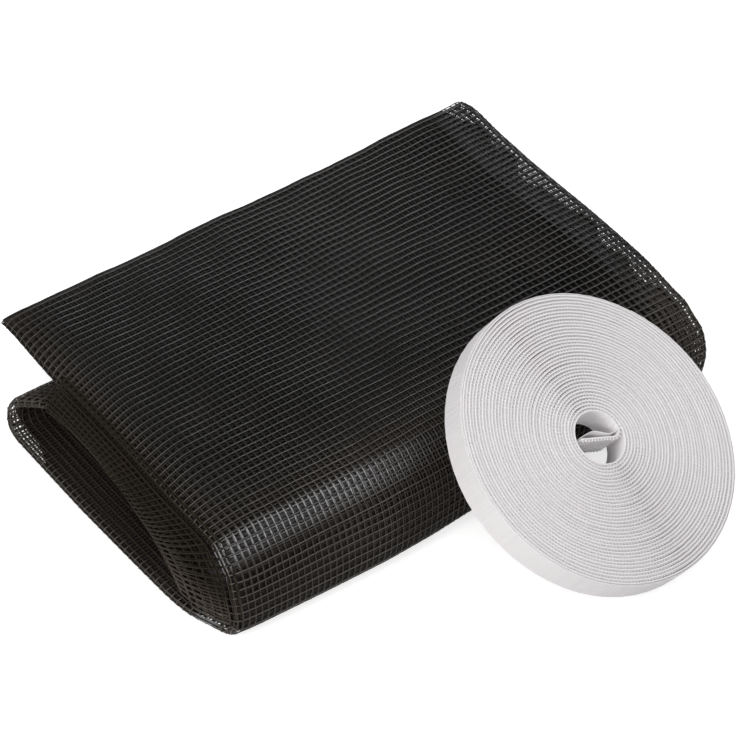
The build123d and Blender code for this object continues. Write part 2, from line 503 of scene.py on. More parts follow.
def between(nodes, links, value, low, high):
    """Gives a share that goes from nought to one as a value goes from low to high."""
    made = nodes.new("ShaderNodeMapRange")
    made.interpolation_type = "SMOOTHSTEP"
    made.inputs["From Min"].default_value = low
    made.inputs["From Max"].default_value = high
    links.new(value, made.inputs["Value"])
    return made.outputs["Result"]


def number(nodes, links, operation, first, second=None, fixed=None):
    """Gives the result of a sum on one or two values."""
    made = nodes.new("ShaderNodeMath")
    made.operation = operation
    links.new(first, made.inputs[0])
    if second is not None:
        links.new(second, made.inputs[1])
    if fixed is not None:
        made.inputs[1].default_value = fixed
    return made.outputs["Value"]


def blended(nodes, links, share, first, second):
    """Gives a colour between two, by a share."""
    made = nodes.new("ShaderNodeMix")
    made.data_type = "RGBA"
    links.new(share, made.inputs["Factor"])
    links.new(first, made.inputs["A"])
    links.new(second, made.inputs["B"])
    return made.outputs["Result"]


def painted_sheen_share(nodes, links, split):
    """Gives the share of the painted highlight: one in a band along the left part of the front fold, nought
    away from it.
    """
    off_line = number(nodes, links, "SUBTRACT", split.outputs["Y"], fixed=PAINTED_SHEEN_Y)
    off_line = number(nodes, links, "ABSOLUTE", off_line)
    on_line = between(nodes, links, off_line, PAINTED_SHEEN_FADE[1], PAINTED_SHEEN_FADE[0])
    on_left = between(nodes, links, split.outputs["X"], PAINTED_SHEEN_END[1], PAINTED_SHEEN_END[0])
    return number(nodes, links, "MULTIPLY", on_line, on_left)


def strand_material(name, dark, light, shine, rough, warm=False, painted_sheen_tones=None, low=None):
    """Coated yarn: near black, browner at the front and left end, with a painted highlight along the front
    fold, a lighter colour that stands in for the lamp's sheen.
    """
    material, nodes, links, shader = new_material(name)
    coordinates = nodes.new("ShaderNodeTexCoord").outputs["Object"]
    split = nodes.new("ShaderNodeSeparateXYZ")
    links.new(coordinates, split.inputs["Vector"])
    patches = noise(nodes, links, PATCH_SCALE, 3.0, coordinates)
    fine = noise(nodes, links, FIBRE_SCALE, 2.0, coordinates)
    colour = ramp(nodes, links, patches, PATCH_STOPS, (dark, light))
    if warm:
        for axis, limits, tones in (("X", WARM_LEFT, left_brown), ("Y", WARM_FRONT, front_brown)):
            brown = ramp(nodes, links, patches, PATCH_STOPS, tones)
            share = between(nodes, links, split.outputs[axis], limits[0], limits[1])
            colour = blended(nodes, links, share, colour, brown)
    if painted_sheen_tones is not None:
        # Painted highlight: a lighter colour along the front fold stands in for the sheen of the front lamp
        painted_sheen_colour = ramp(nodes, links, fine, FIBRE_STOPS, painted_sheen_tones)
        colour = blended(nodes, links, painted_sheen_share(nodes, links, split), colour, painted_sheen_colour)
    if low is not None:
        paler = ramp(nodes, links, patches, PATCH_STOPS, low)
        below = between(nodes, links, split.outputs["Z"], LOW_FADE[1], LOW_FADE[0])
        colour = blended(nodes, links, below, colour, paler)
    links.new(colour, shader.inputs["Base Color"])
    roughness = spread(nodes, links, fine, rough - ROUGH_SPREAD, rough + ROUGH_SPREAD)
    links.new(roughness, shader.inputs["Roughness"])
    shader.inputs["Specular IOR Level"].default_value = shine
    bump(nodes, links, fine, *YARN_RELIEF, shader)
    return material


def ply_material():
    """The plies under the skin, dark, with the grid of their own strands and a painted highlight along the
    front fold.
    """
    material, nodes, links, shader = new_material("inner_mesh")
    uv = nodes.new("ShaderNodeUVMap")
    uv.uv_map = "UVMap"
    split = nodes.new("ShaderNodeSeparateXYZ")
    links.new(uv.outputs["UV"], split.inputs["Vector"])
    lines = []
    for axis in ("X", "Y"):
        wave = number(nodes, links, "PINGPONG", split.outputs[axis], fixed=HALF_CELL)
        lines.append(spread(nodes, links, wave, *WHOLE, GRID_LINE))
    grid = number(nodes, links, "MAXIMUM", lines[0], lines[1])
    colour = ramp(nodes, links, grid, WHOLE, ply_tones)
    coordinates = nodes.new("ShaderNodeTexCoord").outputs["Object"]
    place = nodes.new("ShaderNodeSeparateXYZ")
    links.new(coordinates, place.inputs["Vector"])
    # Painted highlight along the front fold, as on the strands
    painted_sheen_colour = ramp(nodes, links, grid, WHOLE, painted_sheen_ply)
    colour = blended(nodes, links, painted_sheen_share(nodes, links, place), colour, painted_sheen_colour)
    links.new(colour, shader.inputs["Base Color"])
    patches = noise(nodes, links, PLY_PATCH_SCALE, 2.0, coordinates)
    links.new(spread(nodes, links, patches, *PLY_ROUGH), shader.inputs["Roughness"])
    shader.inputs["Specular IOR Level"].default_value = PLY_SHINE
    bump(nodes, links, grid, *PLY_RELIEF, shader)
    return material


def tape_material(name, dark, light, rough_low, rough_high):
    """Milky plastic tape, with faint lines across it and a slight change of tone."""
    material, nodes, links, shader = new_material(name)
    uv = nodes.new("ShaderNodeUVMap")
    uv.uv_map = "UVMap"
    stretch = nodes.new("ShaderNodeMapping")
    stretch.inputs["Scale"].default_value = TAPE_LINES
    links.new(uv.outputs["UV"], stretch.inputs["Vector"])
    lines = noise(nodes, links, 1.0, 2.0, stretch.outputs["Vector"])
    colour = ramp(nodes, links, lines, PATCH_STOPS, (dark, light))
    links.new(colour, shader.inputs["Base Color"])
    links.new(spread(nodes, links, lines, rough_low, rough_high), shader.inputs["Roughness"])
    shader.inputs["Specular IOR Level"].default_value = TAPE_SHINE
    bump(nodes, links, lines, *TAPE_RELIEF, shader)
    return material


# Where the yarn turns brown and where the painted highlight lies, in metres
WARM_FRONT = (-0.012, -0.042)
WARM_LEFT = (-0.060, -0.073)
PAINTED_SHEEN_SHIFT_MM = 0.2
PAINTED_SHEEN_Y = MM * ((crease_start_y + crease_end_y) / 2 + TO_FRAME[1] + PAINTED_SHEEN_SHIFT_MM)
PAINTED_SHEEN_FADE = (0.0010, 0.0044)
PAINTED_SHEEN_END = (-0.036, 0.002)
LOW_FADE = (0.007, 0.017)

left_brown = ((0.019, 0.0150, 0.0112), (0.032, 0.0258, 0.0200))
front_brown = ((0.030, 0.0252, 0.0212), (0.051, 0.0436, 0.0372))
# Tones of the painted highlight along the front fold, for the strands along, the strands under and the
# strands across
painted_sheen_yarn = ((0.150, 0.1480, 0.1510), (0.310, 0.3070, 0.3120))
painted_sheen_under = ((0.120, 0.1180, 0.1190), (0.200, 0.1970, 0.1990))
painted_sheen_rows = ((0.028, 0.0262, 0.0252), (0.048, 0.0455, 0.0445))
ply_tones = ((0.006, 0.0052, 0.0045), (0.022, 0.0190, 0.0165))
# Tones of the painted highlight on the plies
painted_sheen_ply = ((0.030, 0.0285, 0.0280), (0.070, 0.0680, 0.0680))
low_yarn = ((0.048, 0.0385, 0.0315), (0.078, 0.0640, 0.0540))
yarn_cross = strand_material(
    "yarn_across", (0.013, 0.0124, 0.0120), (0.029, 0.0280, 0.0273), 0.46, 0.27, warm=True, painted_sheen_tones=painted_sheen_rows
)
yarn_long = strand_material(
    "yarn_along", (0.008, 0.0074, 0.0070), (0.013, 0.0122, 0.0117), 0.15, 0.33, warm=True, painted_sheen_tones=painted_sheen_yarn
)
yarn_inner = strand_material(
    "yarn_inner", (0.010, 0.0091, 0.0084), (0.018, 0.0166, 0.0155), 0.14, 0.40, warm=True, painted_sheen_tones=painted_sheen_under
)
yarn_end = strand_material(
    "yarn_end", (0.0110, 0.0082, 0.0050), (0.0195, 0.0149, 0.0094), 0.06, 0.45, low=low_yarn
)
dark_ply = ply_material()
backing = tape_material("milky_backing", (0.735, 0.716, 0.728), (0.785, 0.766, 0.778), 0.40, 0.52)
hook_plastic = tape_material("milky_hooks", (0.690, 0.674, 0.690), (0.745, 0.729, 0.745), 0.38, 0.50)


def outer_lengths(first, last):
    """Gives lengths one strand pitch apart, with halfway points where the sheet bends."""
    count = int(round((last - first) / STRAND_PITCH_Y))
    stations = np.linspace(first, last, count + 1)
    lengths = [stations[0]]
    crossing = [True]
    _, _, headings = path.place(stations)
    for step in range(count):
        if abs(headings[step + 1] - headings[step]) > math.radians(BEND_LIMIT):
            lengths.append((stations[step] + stations[step + 1]) / 2)
            crossing.append(False)
        lengths.append(stations[step + 1])
        crossing.append(True)
    return np.array(lengths), np.array(crossing)


def skin_rings(lengths):
    """Gives rings of points round the strip: outside, right nose, inside, left nose."""
    left = read_off(LEFT_RIM, lengths)[:, None]
    right = read_off(RIGHT_RIM, lengths)[:, None]
    back = np.clip(1 - lengths / HALF, 0, 1)
    half = (SKIN * np.sqrt(1 - back ** 2 * BACK_ROUNDING))[:, None]
    share = np.linspace(0, 1, COLUMNS)[None, :]
    flat_x = left + NOSE + (right - left - 2 * NOSE) * share
    turn = np.radians([45.0, 0.0, -45.0])[None, :]
    right_x = right - NOSE + NOSE * np.cos(turn)
    left_x = (left + NOSE - NOSE * np.cos(turn))[:, ::-1]
    x = np.concatenate([flat_x, right_x, flat_x[:, ::-1], left_x], axis=1)
    level = np.ones_like(flat_x)
    nose_level = np.sin(turn) * np.ones_like(left)
    offset = half * np.concatenate([level, nose_level, -level, nose_level[:, ::-1]], axis=1)
    s = np.broadcast_to(lengths[:, None], x.shape)
    return bent(s, x, offset)


# The outer skin of the sheet: top, front fold, bottom and back curl
notch_s = path.at_y(STACK_BACK_Y - NOTCH_SETBACK, curl_end, path.length)
skin_s, skin_crossing = outer_lengths(SKIN_START, notch_s)
skin_points = skin_rings(skin_s)
skin_cross, skin_long = weave(skin_points, skin_crossing, True)
skin_pieces = [
    make_piece("skin_cross_strands", *skin_cross, yarn_cross, "folded_screen", "mesh"),
    make_piece("skin_long_strands", *skin_long, yarn_long, "folded_screen", "mesh"),
]

# The rounded ends of the tucked layers: distance from the top's rim, and share of the way down
END_PROFILE = (
    (1.8, 0.0),
    (0.2, 0.03),
    (-1.2, 0.12),
    (-2.4, 0.24),
    (-3.4, 0.38),
    (-4.2, 0.53),
    (-4.7, 0.68),
    (-4.9, 0.83),
    (-4.3, 0.95),
    (-2.8, 1.0),
)
UNDER_FIRST = 3
UNDER_PROFILE = tuple(
    ((first[0] + second[0]) / 2, (first[1] + second[1]) / 2)
    for first, second in zip(END_PROFILE[UNDER_FIRST:], END_PROFILE[UNDER_FIRST + 1:])
)
UNDER_DEPTH = 0.65
LIP_PROFILE = (
    (-0.7, 0.07),
    (-1.7, 0.15),
    (-2.7, 0.25),
    (-3.6, 0.36),
    (-4.3, 0.47),
    (-4.8, 0.57),
)
LIP_DEPTH = -0.75
FAN_START_Y = 72.0
FAN_EASE = 0.9
END_LIFT = 0.12
RIGHT_END_GAP = 0.3
RIGHT_END_INSET = 4.7
CEILING_MARGIN = 1.0
RIGHT_END_MIRROR = SCREEN_LENGTH - TUCKED_SETBACK - RIGHT_END_INSET
FLAT_X = 60.0

stack_back_s = path.at_y(STACK_BACK_Y, 0.0, DOME_LENGTH)
stations = skin_s[skin_crossing]
upper_s = stations[(stations >= stack_back_s) & (stations <= corner_start)]
upper_y, _, _ = path.place(upper_s)
level_lines = (upper_y > FAN_START_Y) & (upper_s < DOME_LENGTH)
lower_s = np.array([path.at_y(line_y, curl_end, path.length) for line_y in upper_y[level_lines]])
fan = np.linspace(0, 1, np.count_nonzero(~level_lines) + 1)[1:]
lower_s = np.concatenate([lower_s, lower_s[-1] + (path.length - lower_s[-1]) * fan ** FAN_EASE])


def ceiling_points(lower, x):
    """Gives points of the pocket's ceiling."""
    shape = (len(lower), x.shape[-1])
    grid = np.broadcast_to(lower[:, None], shape)
    points = bent(grid, np.full(shape, FLAT_X), np.full(shape, -SKIN))
    points[..., 0] = x
    return points


def end_points(upper, lower, profile, depth):
    """Gives points from the top's rim round the left end to the pocket's lip."""
    shape = (len(upper), len(profile))
    share = np.array([t for _, t in profile])[None, :, None]
    rim = read_off(LEFT_RIM, upper)[:, None]
    x = rim + np.array([profile_x for profile_x, _ in profile])[None, :] + depth
    grid = np.broadcast_to(upper[:, None], shape)
    above = bent(grid, np.maximum(x, rim), np.full(shape, SKIN + END_LIFT - depth))
    points = above + (ceiling_points(lower, x) - above) * share
    points[..., 0] = x
    return points


def right_end_points(upper, lower, profile):
    """Gives points from the pocket's ceiling up to the underside of the top, at the right end."""
    shape = (len(upper), len(profile))
    share = np.array([t for _, t in reversed(profile)])[None, :, None]
    x = RIGHT_END_MIRROR - np.array([profile_x for profile_x, _ in reversed(profile)])[None, :]
    grid = np.broadcast_to(upper[:, None], shape)
    above = bent(grid, np.full(shape, FLAT_X), np.full(shape, -HALF - RIGHT_END_GAP))
    points = above + (ceiling_points(lower, x) - above) * share
    points[..., 0] = x
    return points


def woven(points):
    """Gives both sets of strands of a grid that isn't closed, as one mesh."""
    return put_together(weave(points, np.ones(len(points), dtype=bool), False))


def halfway(values):
    return (values[1:] + values[:-1]) / 2


ceiling_x = np.arange(-CEILING_MARGIN, RIGHT_END_MIRROR + CEILING_MARGIN, STRAND_PITCH_X)[None, :]
tucked_points = np.concatenate([
    end_points(upper_s, lower_s, END_PROFILE, 0.0),
    ceiling_points(lower_s, ceiling_x),
    right_end_points(upper_s, lower_s, END_PROFILE),
], axis=1)[:, ::-1]
lip_points = end_points(upper_s, lower_s, LIP_PROFILE, LIP_DEPTH)[:, ::-1]
tucked_strands = put_together([woven(tucked_points), woven(lip_points)])
skin_pieces.append(make_piece("tucked_layer_strands", *tucked_strands, yarn_end, "folded_screen", "mesh"))

# A second ply close under the top, the front fold and the left end
second_s = np.arange(SECOND_PLY_START, corner_start, STRAND_PITCH_Y)
second_left = read_off(LEFT_RIM, second_s)[:, None] + SECOND_PLY_MARGIN
second_right = read_off(RIGHT_RIM, second_s)[:, None] - SECOND_PLY_MARGIN
second_share = np.linspace(0, 1, COLUMNS - 1)[None, :]
skew = SECOND_PLY_SKEW * (second_s - second_s.mean())[:, None]
second_x = second_left + (second_right - second_left) * second_share + skew
second_grid_s = np.broadcast_to(second_s[:, None], second_x.shape)
second_grid_s = second_grid_s + SECOND_PLY_SKEW * (second_x - SECOND_PLY_MIDDLE)
second_points = bent(second_grid_s, second_x, np.full_like(second_x, SKIN - SECOND_PLY_DEPTH))
under_points = end_points(halfway(upper_s), halfway(lower_s), UNDER_PROFILE, UNDER_DEPTH)
second_ply = put_together([woven(second_points), woven(under_points[:, ::-1])])
skin_pieces.append(make_piece("second_ply_strands", *second_ply, yarn_inner, "folded_screen", "mesh"))

# More plies of open mesh along the right rim and the pocket's rim, where the dark plies stop short

# Each has its level, the start of its first strand and its shift from the rim
EDGE_PLIES = ((0.75, 0.5, 0.9), (0.1, 1.3, -0.7), (-0.6, 0.2, 0.5))
EDGE_WIDTH = 11.0
EDGE_SKEW = 0.012
EDGE_COLUMNS = 6
EDGE_MARGIN = 0.5
EDGE_SHIFT_RATE = 4
RIGHT_EDGE_START = 0.6
LEFT_EDGE_START = corner_start + 2.0
LEFT_EDGE_END = curl_end + 8.0


def edge_plies(rim, inward, first, last):
    """Gives strips of open mesh that run along a rim, one above the other."""
    strips = []
    for level, start, shift in EDGE_PLIES:
        s = np.arange(first + start, last, STRAND_PITCH_Y)
        share = np.linspace(0, 1, EDGE_COLUMNS)[None, :]
        away = EDGE_MARGIN + EDGE_WIDTH * share + shift * np.minimum(share * EDGE_SHIFT_RATE, 1)
        away = away + EDGE_SKEW * shift * (s - s.mean())[:, None] * share
        x = read_off(rim, s)[:, None] + inward * away
        grid = np.broadcast_to(s[:, None], x.shape)
        points = bent(grid, x, np.full_like(x, level))
        strips.append(woven(points if inward > 0 else points[:, ::-1]))
    return put_together(strips)


edge_mesh = put_together([
    edge_plies(RIGHT_RIM, -1.0, RIGHT_EDGE_START, corner_start),
    edge_plies(LEFT_RIM, 1.0, LEFT_EDGE_START, LEFT_EDGE_END),
])
skin_pieces.append(make_piece("edge_ply_strands", *edge_mesh, yarn_cross, "folded_screen", "mesh"))


def ply_grid(points, s, x):
    """Gives the vertices, quads and strand-count UV of one inner ply."""
    rows, columns = points.shape[:2]
    uv = np.stack([x / STRAND_PITCH_X, s / STRAND_PITCH_Y], axis=-1)
    return points.reshape(-1, 3), grid_quads(rows, columns), uv.reshape(-1, 2)


LEFT_INSET = (
    (0.0, 0.1),
    (corner_start, 0.3),
    (bottom_start, 3.8),
    (bottom_start + 12.0, 0.3),
    (bottom_end - 14.0, 0.4),
    (bottom_end - 2.0, 4.6),
    (bottom_end + 6.0, 3.4),
    (bottom_end + 12.0, 0.6),
    (path.length, 1.0),
)
OUTER_GAP = (
    (0.0, 0.25),
    (6.0, 0.95),
    (shoulder_end, 0.95),
    (corner_start, 0.30),
    (path.length, 0.30),
)
RIGHT_INSET = 1.8
RIM_WANDER = 1.2
RIM_WANDER_LENGTH = 11.0
LEFT_WANDER = 0.3
LEFT_WANDER_LENGTH = 13.0
INNER_GAP = 0.3
NOSE_MOST = 0.98
SPARKLE = 4.4
SPARKLE_LOW = 0.1
SPARKLE_MIDDLE = 0.55
SPARKLE_WAVES = ((0.4, 6.1, 1.0), (0.3, 2.7, 0.0))
BACK_INSET = 0.35
PLY_COLUMNS = 12

# The plies between the skins, one above the other, with rims that don't quite line up
chance = np.random.default_rng(7)
plies = []
ply_s, _ = outer_lengths(BACK_INSET, path.length)
ply_share = np.linspace(0, 1, PLY_COLUMNS)[None, :]
sparkle = SPARKLE * np.clip(waves(ply_s, SPARKLE_WAVES, SPARKLE_MIDDLE), 0, 1)
sparkle = sparkle * np.clip((corner_start - ply_s) / CORNER_FADE, SPARKLE_LOW, 1)
for level in np.linspace(0, 1, INNER_PLIES):
    offset = SKIN - read_off(OUTER_GAP, ply_s)
    offset = offset + (-SKIN + INNER_GAP - offset) * level
    nose = NOSE * (1 - np.sqrt(1 - np.minimum(np.abs(offset) / SKIN, NOSE_MOST) ** 2))
    phase = chance.uniform(0, 2 * np.pi, 2)
    wander = chance.uniform(0, RIM_WANDER) * (1 + np.sin(ply_s / RIM_WANDER_LENGTH + phase[0]))
    right_inset = RIGHT_INSET + nose + wander + sparkle
    left_wander = LEFT_WANDER * np.sin(ply_s / LEFT_WANDER_LENGTH + phase[1]) ** 2
    left_inset = read_off(LEFT_INSET, ply_s) + nose + left_wander
    ply_left = (read_off(LEFT_RIM, ply_s) + left_inset)[:, None]
    ply_right = (read_off(RIGHT_RIM, ply_s) - right_inset)[:, None]
    ply_x = ply_left + (ply_right - ply_left) * ply_share
    ply_grid_s = np.broadcast_to(ply_s[:, None], ply_x.shape)
    points = bent(ply_grid_s, ply_x, np.broadcast_to(offset[:, None], ply_x.shape))
    plies.append(ply_grid(points, ply_grid_s, ply_x))

# The plies that fill the space between the top and the pocket's ceiling
STACK_TOP_GAP = 0.5
STACK_BOTTOM_GAP = 0.2
STACK_FIRST = 0.3
STACK_RUN = 0.45
STACK_INSET = 1.6
STACK_SPACING = 1.5

end_x_line = [profile_x for profile_x, _ in END_PROFILE]
end_t = [t for _, t in END_PROFILE]
stack_shape = (len(upper_s), PLY_COLUMNS)
stack_upper_s = np.broadcast_to(upper_s[:, None], stack_shape)
stack_lower_s = np.broadcast_to(lower_s[:, None], stack_shape)
stack_rim = read_off(LEFT_RIM, upper_s)[:, None]
stack_floor = np.full(stack_shape, HALF + STACK_BOTTOM_GAP)
stack_lower = bent(stack_lower_s, np.full(stack_shape, FLAT_X), stack_floor)
for share in np.linspace(0, 1, STACK_PLIES):
    end_x = np.interp(STACK_FIRST + STACK_RUN * share, end_t, end_x_line) + STACK_INSET
    stack_x = end_x + (RIGHT_END_MIRROR - 2 * end_x) * np.linspace(0, 1, PLY_COLUMNS) ** STACK_SPACING
    stack_x = np.broadcast_to(stack_x[None, :], stack_shape)
    stack_offset = np.full(stack_shape, -HALF - STACK_TOP_GAP)
    stack_upper = bent(stack_upper_s, np.maximum(stack_x, stack_rim), stack_offset)
    points = stack_upper + (stack_lower - stack_upper) * share
    points[..., 0] = stack_x
    plies.append(ply_grid(points, stack_upper_s, stack_x))

ply_vertices, ply_quads = put_together([(vertices, quads) for vertices, quads, _ in plies])
ply_uv = np.concatenate([uv for _, _, uv in plies])
plies_piece = make_piece("folded_plies", ply_vertices, ply_quads, dark_ply, "folded_screen", "mesh", ply_uv)

# The roll's own axes in the source's corner
compass = math.radians(AXIS_COMPASS)
rise = math.radians(AXIS_RISE)
roll_axis = np.array([
    math.cos(rise) * math.cos(compass),
    math.cos(rise) * math.sin(compass),
    math.sin(rise),
])
roll_level = np.array([-math.sin(compass), math.cos(compass), 0.0])
roll_up = np.cross(roll_axis, roll_level)
TURN_PITCH = (ROLL_RADIUS - HOLE_RADIUS - TAPE_THICKNESS) / TURNS
end_angle = (TAIL_START_ANGLE + 360.0 * TURNS) % 360.0
lowest_radius = ROLL_RADIUS - TURN_PITCH * ((end_angle + 90.0) % 360.0) / 360.0
roll_height = TAPE_WIDTH * math.sin(rise) + lowest_radius * math.cos(rise)
roll_origin = np.array([ROLL_X, ROLL_Y, roll_height]) + np.array(ROLL_NUDGE)

LOOSE_FROM_TURN = 32.0
LOOSE_ANGLE = -62.0
LOOSE_WIDTH = 46.0
LOOSE_LIFT = 0.35
END_DIP = 0.08
END_DIP_TURNS = 0.10
TAIL_STEPS = 15
WOBBLE = 0.03
WOBBLE_LOBES = ((3, 1.0), (5, -2.3))
WINDING_WAVES = ((0.07, 37.0, 0.0), (0.05, 14.3, 1.0))


def tape_line():
    """Gives the tape's middle line from its inner tip to its outer end, with outward normals."""
    heading = TAIL_START_ANGLE - 90.0
    start_radius = HOLE_RADIUS + TAPE_THICKNESS / 2
    start = np.array([
        start_radius * math.cos(math.radians(TAIL_START_ANGLE)),
        start_radius * math.sin(math.radians(TAIL_START_ANGLE)),
    ])
    first = math.radians(heading)
    middle = start + TAIL_BEND_RADIUS * np.array([math.sin(first), -math.cos(first)])
    now = np.radians(heading - TAIL_BEND_ANGLE * np.linspace(1, 0, TAIL_STEPS)[:-1])
    bend_normals = np.stack([-np.sin(now), np.cos(now)], axis=-1)
    bend = middle + TAIL_BEND_RADIUS * bend_normals
    last = now[0]
    run = np.linspace(TAIL_LENGTH, 0, TAIL_STEPS)[:-1]
    straight = bend[0] + run[:, None] * np.array([math.cos(last), math.sin(last)])
    straight_normals = np.broadcast_to(bend_normals[0], straight.shape)
    turns = np.linspace(0, TURNS, int(TURNS * STEPS_PER_TURN))
    angle = np.radians(TAIL_START_ANGLE) + 2 * np.pi * turns
    away = np.degrees(np.angle(np.exp(1j * (angle - math.radians(LOOSE_ANGLE)))))
    loose = np.clip((turns - LOOSE_FROM_TURN) / (TURNS - LOOSE_FROM_TURN), 0, 1)
    radius = start_radius + TURN_PITCH * turns
    radius = radius + LOOSE_LIFT * loose * np.exp(-(away / LOOSE_WIDTH) ** 2)
    radius = radius - END_DIP * np.clip(1 - (TURNS - turns) / END_DIP_TURNS, 0, 1)
    for lobes, drift in WOBBLE_LOBES:
        radius = radius + WOBBLE * np.sin(lobes * angle + drift * turns)
    spiral_normals = np.stack([np.cos(angle), np.sin(angle)], axis=-1)
    spiral = radius[:, None] * spiral_normals
    points = np.concatenate([straight, bend, spiral])
    normals = np.concatenate([straight_normals, bend_normals, spiral_normals])
    return points, normals, len(straight) + len(bend)


def run_along(points):
    """Gives the length from the first point to each point of a line."""
    steps = np.linalg.norm(np.diff(points, axis=0), axis=1)
    return np.concatenate([[0.0], np.cumsum(steps)])


tape_points, tape_normals, tail_count = tape_line()
tape_run = run_along(tape_points)
tail_run = tape_run[tail_count]
half_tape = TAPE_THICKNESS / 2


def edge_shift(run):
    """Gives how far the winding wanders along the roll's axis."""
    return waves(run, WINDING_WAVES)


def on_roll(flat, depth):
    """Gives points from the roll's face plane and the depth behind its near face."""
    placed = flat[..., :1] * roll_level + flat[..., 1:] * roll_up
    return roll_origin + placed - depth[..., None] * roll_axis


def strip_mesh(points, normals, run, profile, taper):
    """Gives a strip that follows a line, with a closed profile of offsets and depths."""
    offset = np.array([pair[0] for pair in profile])
    depth = np.array([pair[1] for pair in profile])
    count = len(profile)
    offset = (offset + half_tape)[None, :] * taper[:, None] - half_tape
    depth = depth[None, :] + edge_shift(run)[:, None]
    flat = points[:, None, :] + normals[:, None, :] * offset[..., None]
    placed = on_roll(flat, depth).reshape(-1, 3)
    index = np.arange(len(points) * count).reshape(-1, count)
    here = index[:-1]
    ahead = index[1:]
    quads = np.stack([here, np.roll(here, -1, axis=1), np.roll(ahead, -1, axis=1), ahead], axis=-1)
    quads = [list(quad) for quad in quads.reshape(-1, 4)]
    half = count // 2
    for step in range(half - 1):
        corners = (step, step + 1, count - 2 - step, count - 1 - step)
        quads.append([index[0, corner] for corner in reversed(corners)])
        quads.append([index[-1, corner] for corner in corners])
    uv = np.stack([np.broadcast_to(run[:, None], depth.shape), depth], axis=-1).reshape(-1, 2)
    return placed, np.array(quads), uv


def soft_edged(low, high, first, last, edge):
    """Gives a flat profile between two offsets and two depths, with eased corners."""
    return (
        (high, first + edge),
        (high, last - edge),
        (high - edge, last),
        (low + edge, last),
        (low, last - edge),
        (low, first + edge),
        (low + edge, first),
        (high - edge, first),
    )


def rows_together(rows):
    """Joins meshes that carry their own UV."""
    vertices, quads = put_together([(row[0], row[1]) for row in rows])
    return vertices, quads, np.concatenate([row[2] for row in rows])


end_taper = np.clip((tape_run[-1] - tape_run) / END_TAPER, THINNEST, 1.0)

# The backing strip, on the inner side of each turn
backing_profile = soft_edged(-half_tape, BACKING_OUTER, 0.0, TAPE_WIDTH, BACKING_EDGE)
backing_vertices, backing_quads, backing_uv = strip_mesh(
    tape_points, tape_normals, tape_run, backing_profile, end_taper
)
make_piece(
    "tape_backing", backing_vertices, backing_quads, backing, "hook_tape_roll", "tape", backing_uv
)

# The liner, which has come away from the tape's inner end and bows across the hole
LINER_ROUTE = (
    (6.66, -1.13),
    (6.18, -2.31),
    (4.91, -2.47),
    (3.02, -1.6),
    (1.49, 0.19),
    (0.03, 1.89),
    (-1.65, 2.72),
    (-4.72, 3.54),
)


def smooth_line(route, steps):
    """Gives a smooth line through a few points."""
    corners = np.array([route[0], *route, route[-1]])
    line = []
    for before, start, end, after in zip(corners, corners[1:], corners[2:], corners[3:]):
        for t in np.linspace(0, 1, steps, endpoint=False):
            bow = (2 * before - 5 * start + 4 * end - after) * t ** 2
            twist = (3 * start - before - 3 * end + after) * t ** 3
            line.append(0.5 * (2 * start + (end - before) * t + bow + twist))
    line.append(corners[-1])
    return np.array(line)


liner_points = smooth_line(LINER_ROUTE, 8)
liner_forward = unit(np.gradient(liner_points, axis=0))
liner_normals = np.stack([liner_forward[:, 1], -liner_forward[:, 0]], axis=-1)
liner_profile = soft_edged(
    -LINER_HALF, LINER_HALF, LINER_SETBACK, TAPE_WIDTH - LINER_SETBACK, LINER_EDGE
)
liner_run = run_along(liner_points)
liner_vertices, liner_quads, liner_uv = strip_mesh(
    liner_points, liner_normals, liner_run, liner_profile, np.ones(len(liner_run))
)
make_piece("tape_liner", liner_vertices, liner_quads, backing, "hook_tape_roll", "tape", liner_uv)


def hook_row(runs, first, last, base, tip):
    """Gives a row of hooks on the tape's outer face, between two depths from its near edge."""
    centre = np.stack([np.interp(runs, tape_run, tape_points[:, axis]) for axis in (0, 1)], axis=-1)
    out = unit(np.stack([np.interp(runs, tape_run, tape_normals[:, axis]) for axis in (0, 1)], axis=-1))
    forward = np.stack([-out[:, 1], out[:, 0]], axis=-1)
    corners = []
    for offset, width in ((base, HOOK_BASE_WIDTH), (tip, HOOK_TIP_WIDTH)):
        for side, depth in ((-0.5, first), (0.5, first), (0.5, last), (-0.5, last)):
            flat = centre + out * offset + forward * (side * width)
            corners.append(on_roll(flat, depth + edge_shift(runs)))
    points = np.stack(corners, axis=1)
    start = (np.arange(len(runs)) * 8)[:, None, None]
    faces = np.array([[0, 4, 5, 1], [1, 5, 6, 2], [2, 6, 7, 3], [3, 7, 4, 0], [4, 7, 6, 5]])
    quads = (start + faces[None]).reshape(-1, 4)
    uv = np.stack([np.repeat(runs, 8), np.full(len(runs) * 8, first)], axis=-1)
    return points.reshape(-1, 3), quads, uv


# The field of hooks inside the winding, and the hooks that show at its two faces
field_profile = soft_edged(
    BACKING_OUTER - FIELD_SINK, FIELD_OUTER, FIELD_SETBACK, TAPE_WIDTH - FIELD_SETBACK, FIELD_EDGE
)
field = strip_mesh(tape_points, tape_normals, tape_run, field_profile, end_taper)
hooked_runs = np.arange(FIRST_HOOK, tape_run[-1] - END_TAPER, HOOK_PITCH)
last_turn_start = tape_run[-1] - 2 * math.pi * ROLL_RADIUS
inside_runs = hooked_runs[hooked_runs < last_turn_start]
near_row = hook_row(inside_runs, HOOK_SETBACK, HOOK_SETBACK + HOOK_DEPTH, BACKING_OUTER, HOOK_TIP)
far_edge = TAPE_WIDTH - HOOK_SETBACK
far_row = hook_row(inside_runs, far_edge - HOOK_DEPTH, far_edge, BACKING_OUTER, HOOK_TIP)

